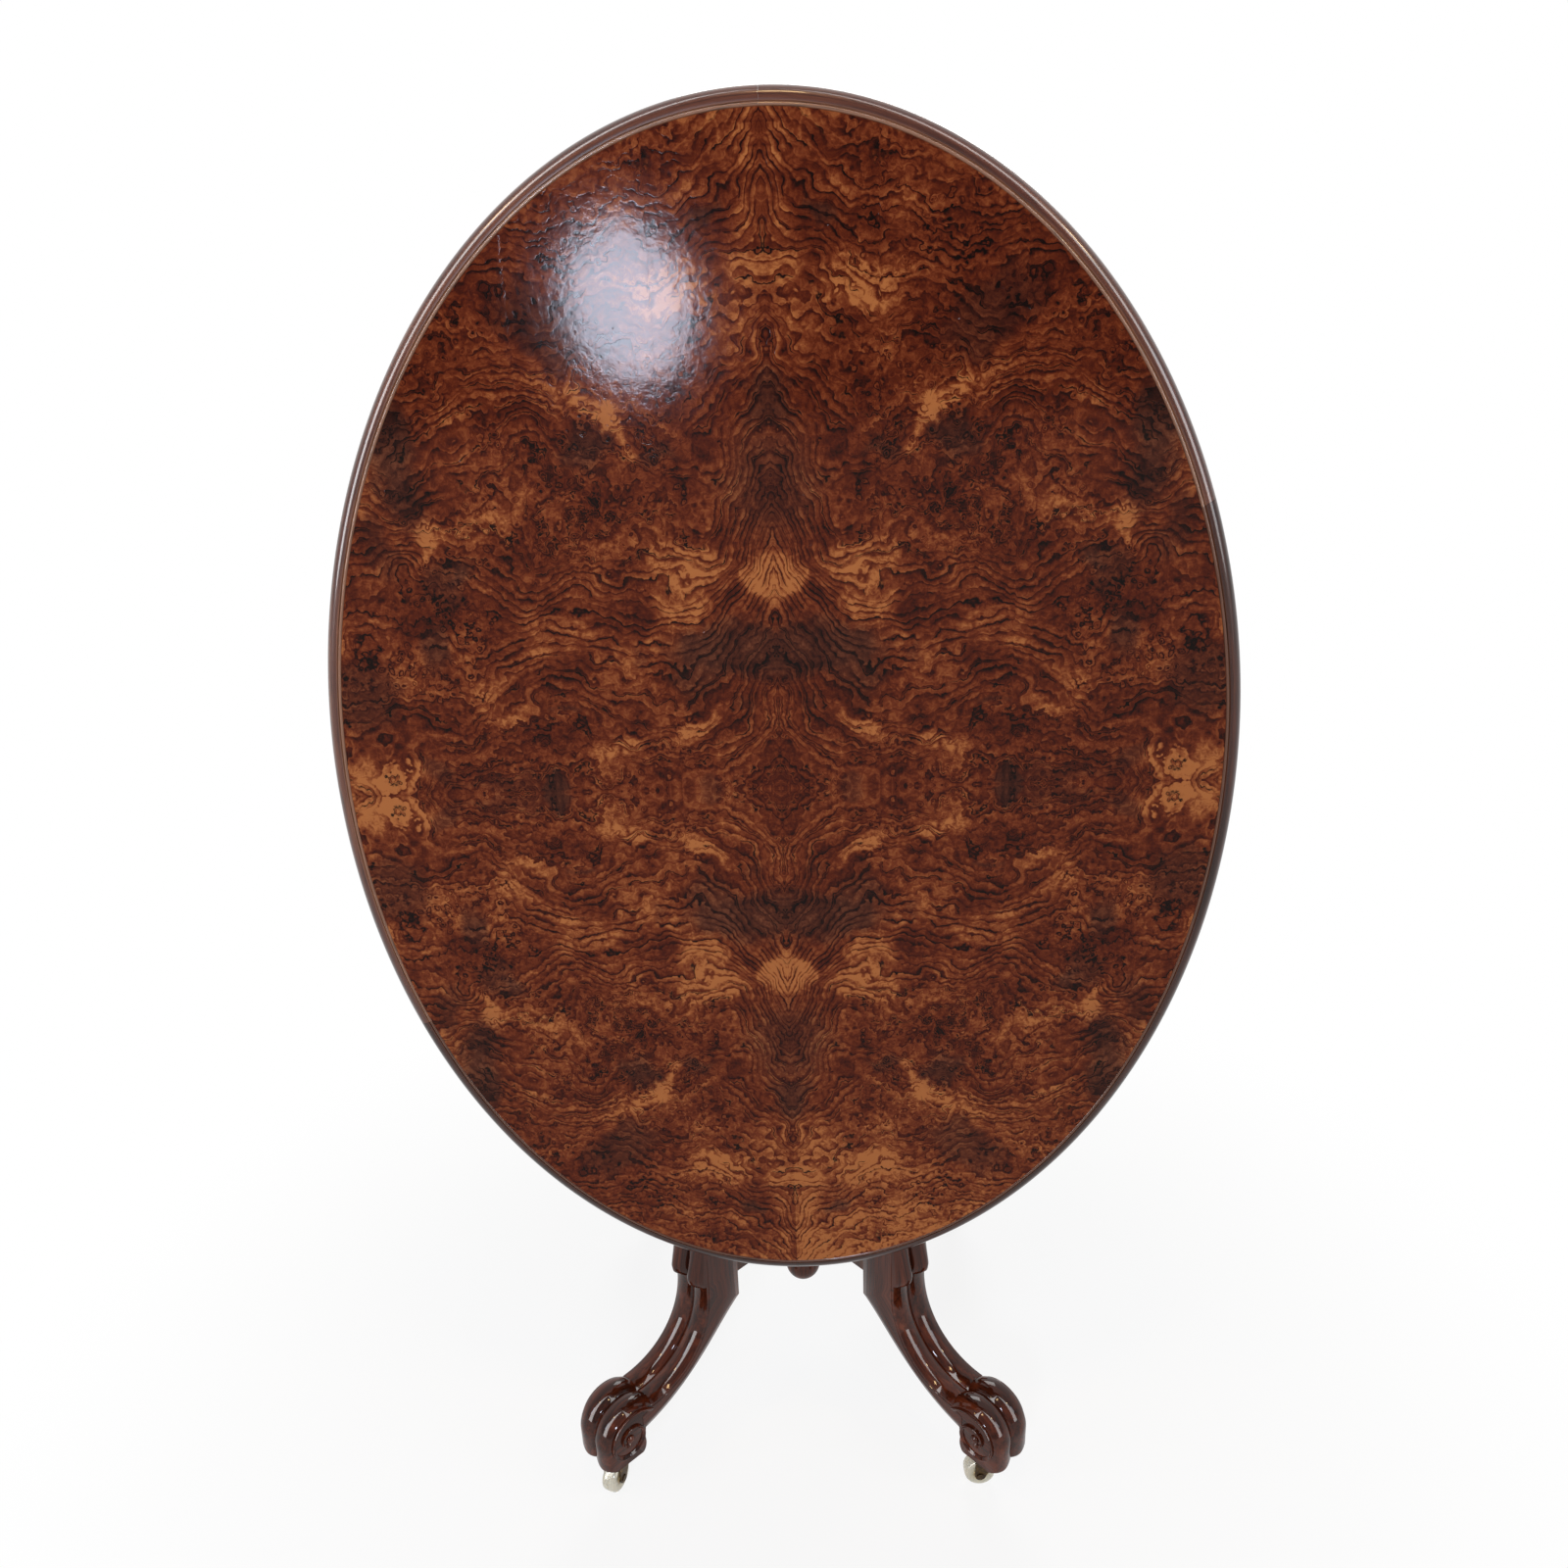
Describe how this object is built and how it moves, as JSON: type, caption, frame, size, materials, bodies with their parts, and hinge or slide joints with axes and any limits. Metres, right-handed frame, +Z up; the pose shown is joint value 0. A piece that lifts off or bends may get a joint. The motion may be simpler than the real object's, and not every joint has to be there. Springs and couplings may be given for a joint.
{
  "type": "loo table",
  "caption": "Oval tilt-top centre table, quarter-veneered in burr walnut, on turned columns and carved scroll legs with china castors.",
  "frame": {"origin": "on the floor, under the middle of the base", "axes": "+Z up, -Y the way the tipped top faces, +X to the right seen from the front"},
  "size_m": [0.84, 0.508, 1.4188],
  "materials": {
    "burr_walnut_veneer": "french polished, glossy",
    "walnut_moulding": "french polished, glossy",
    "polished_walnut": "french polished, glossy",
    "stained_beech": "stained, dull",
    "ground_board": "planed, aged",
    "brass": "lacquered, worn",
    "aged_brass": "dark patina",
    "iron": "blued",
    "china": "glazed"
  },
  "bodies": {
    "base": {"pivot_block": "stained_beech", "pivot_pin_right": "brass", "pivot_pin_left": "brass", "pivot_washers": "brass", "catch_plate": "brass", "catch_screws": "brass", "catch_pivot": "brass", "column_front_right": "polished_walnut", "column_front_left": "polished_walnut", "column_back_left": "polished_walnut", "column_back_right": "polished_walnut", "cross_rail_lower": "polished_walnut", "cross_rail_upper": "polished_walnut", "finial": "polished_walnut", "drop": "polished_walnut", "leg_front_right": "polished_walnut", "leg_front_left": "polished_walnut", "leg_back_left": "polished_walnut", "leg_back_right": "polished_walnut", "castor_plate_front_right": "aged_brass", "castor_plate_front_left": "aged_brass", "castor_plate_back_left": "aged_brass", "castor_plate_back_right": "aged_brass"},
    "top": {"top_board": "ground_board", "veneer_upper_right": "burr_walnut_veneer", "veneer_upper_left": "burr_walnut_veneer", "veneer_lower_left": "burr_walnut_veneer", "veneer_lower_right": "burr_walnut_veneer", "rim_upper_right": "walnut_moulding", "rim_right": "walnut_moulding", "rim_lower_right": "walnut_moulding", "rim_lower_left": "walnut_moulding", "rim_left": "walnut_moulding", "rim_upper_left": "walnut_moulding", "bearer_right": "stained_beech", "bearer_left": "stained_beech", "bearer_screws": "iron", "catch_keeper": "brass", "keeper_screws": "brass"},
    "catch_lever": {"catch_lever": "brass"},
    "fork_front_right": {"castor_fork_front_right": "aged_brass", "castor_axle_front_right": "aged_brass"},
    "wheel_front_right": {"castor_wheel_front_right": "china"},
    "fork_front_left": {"castor_fork_front_left": "aged_brass", "castor_axle_front_left": "aged_brass"},
    "wheel_front_left": {"castor_wheel_front_left": "china"},
    "fork_back_left": {"castor_fork_back_left": "aged_brass", "castor_axle_back_left": "aged_brass"},
    "wheel_back_left": {"castor_wheel_back_left": "china"},
    "fork_back_right": {"castor_fork_back_right": "aged_brass", "castor_axle_back_right": "aged_brass"},
    "wheel_back_right": {"castor_wheel_back_right": "china"}
  },
  "joints": [
    {"name": "top_tilt", "type": "hinge", "parent": "base", "child": "top", "pos_m": [0, -0.145, 0.7048], "axis": [-1, 0, 0], "range_deg": [0, 90]},
    {"name": "catch_turn", "type": "hinge", "parent": "base", "child": "catch_lever", "pos_m": [0, 0.146, 0.6803], "axis": [0, 0, 1], "range_deg": [0, 90]},
    {"name": "castor_swivel_front_right", "type": "hinge", "parent": "base", "child": "fork_front_right", "pos_m": [0.21355, -0.21355, 0.045], "axis": [0, 0, 1], "continuous": true},
    {"name": "castor_roll_front_right", "type": "hinge", "parent": "fork_front_right", "child": "wheel_front_right", "pos_m": [0.20256, -0.21412, 0.0175], "axis": [0.0523, -0.9986, 0], "continuous": true},
    {"name": "castor_swivel_front_left", "type": "hinge", "parent": "base", "child": "fork_front_left", "pos_m": [-0.21355, -0.21355, 0.045], "axis": [0, 0, 1], "continuous": true},
    {"name": "castor_roll_front_left", "type": "hinge", "parent": "fork_front_left", "child": "wheel_front_left", "pos_m": [-0.21767, -0.22374, 0.0175], "axis": [0.9272, -0.3746, 0], "continuous": true},
    {"name": "castor_swivel_back_left", "type": "hinge", "parent": "base", "child": "fork_back_left", "pos_m": [-0.21355, 0.21355, 0.045], "axis": [0, 0, 1], "continuous": true},
    {"name": "castor_roll_back_left", "type": "hinge", "parent": "fork_back_left", "child": "wheel_back_left", "pos_m": [-0.22032, 0.22221, 0.0175], "axis": [-0.788, -0.6157, 0], "continuous": true},
    {"name": "castor_swivel_back_right", "type": "hinge", "parent": "base", "child": "fork_back_right", "pos_m": [0.21355, 0.21355, 0.045], "axis": [0, 0, 1], "continuous": true},
    {"name": "castor_roll_back_right", "type": "hinge", "parent": "fork_back_right", "child": "wheel_back_right", "pos_m": [0.21837, 0.22343, 0.0175], "axis": [-0.8988, 0.4384, 0], "continuous": true}
  ]
}
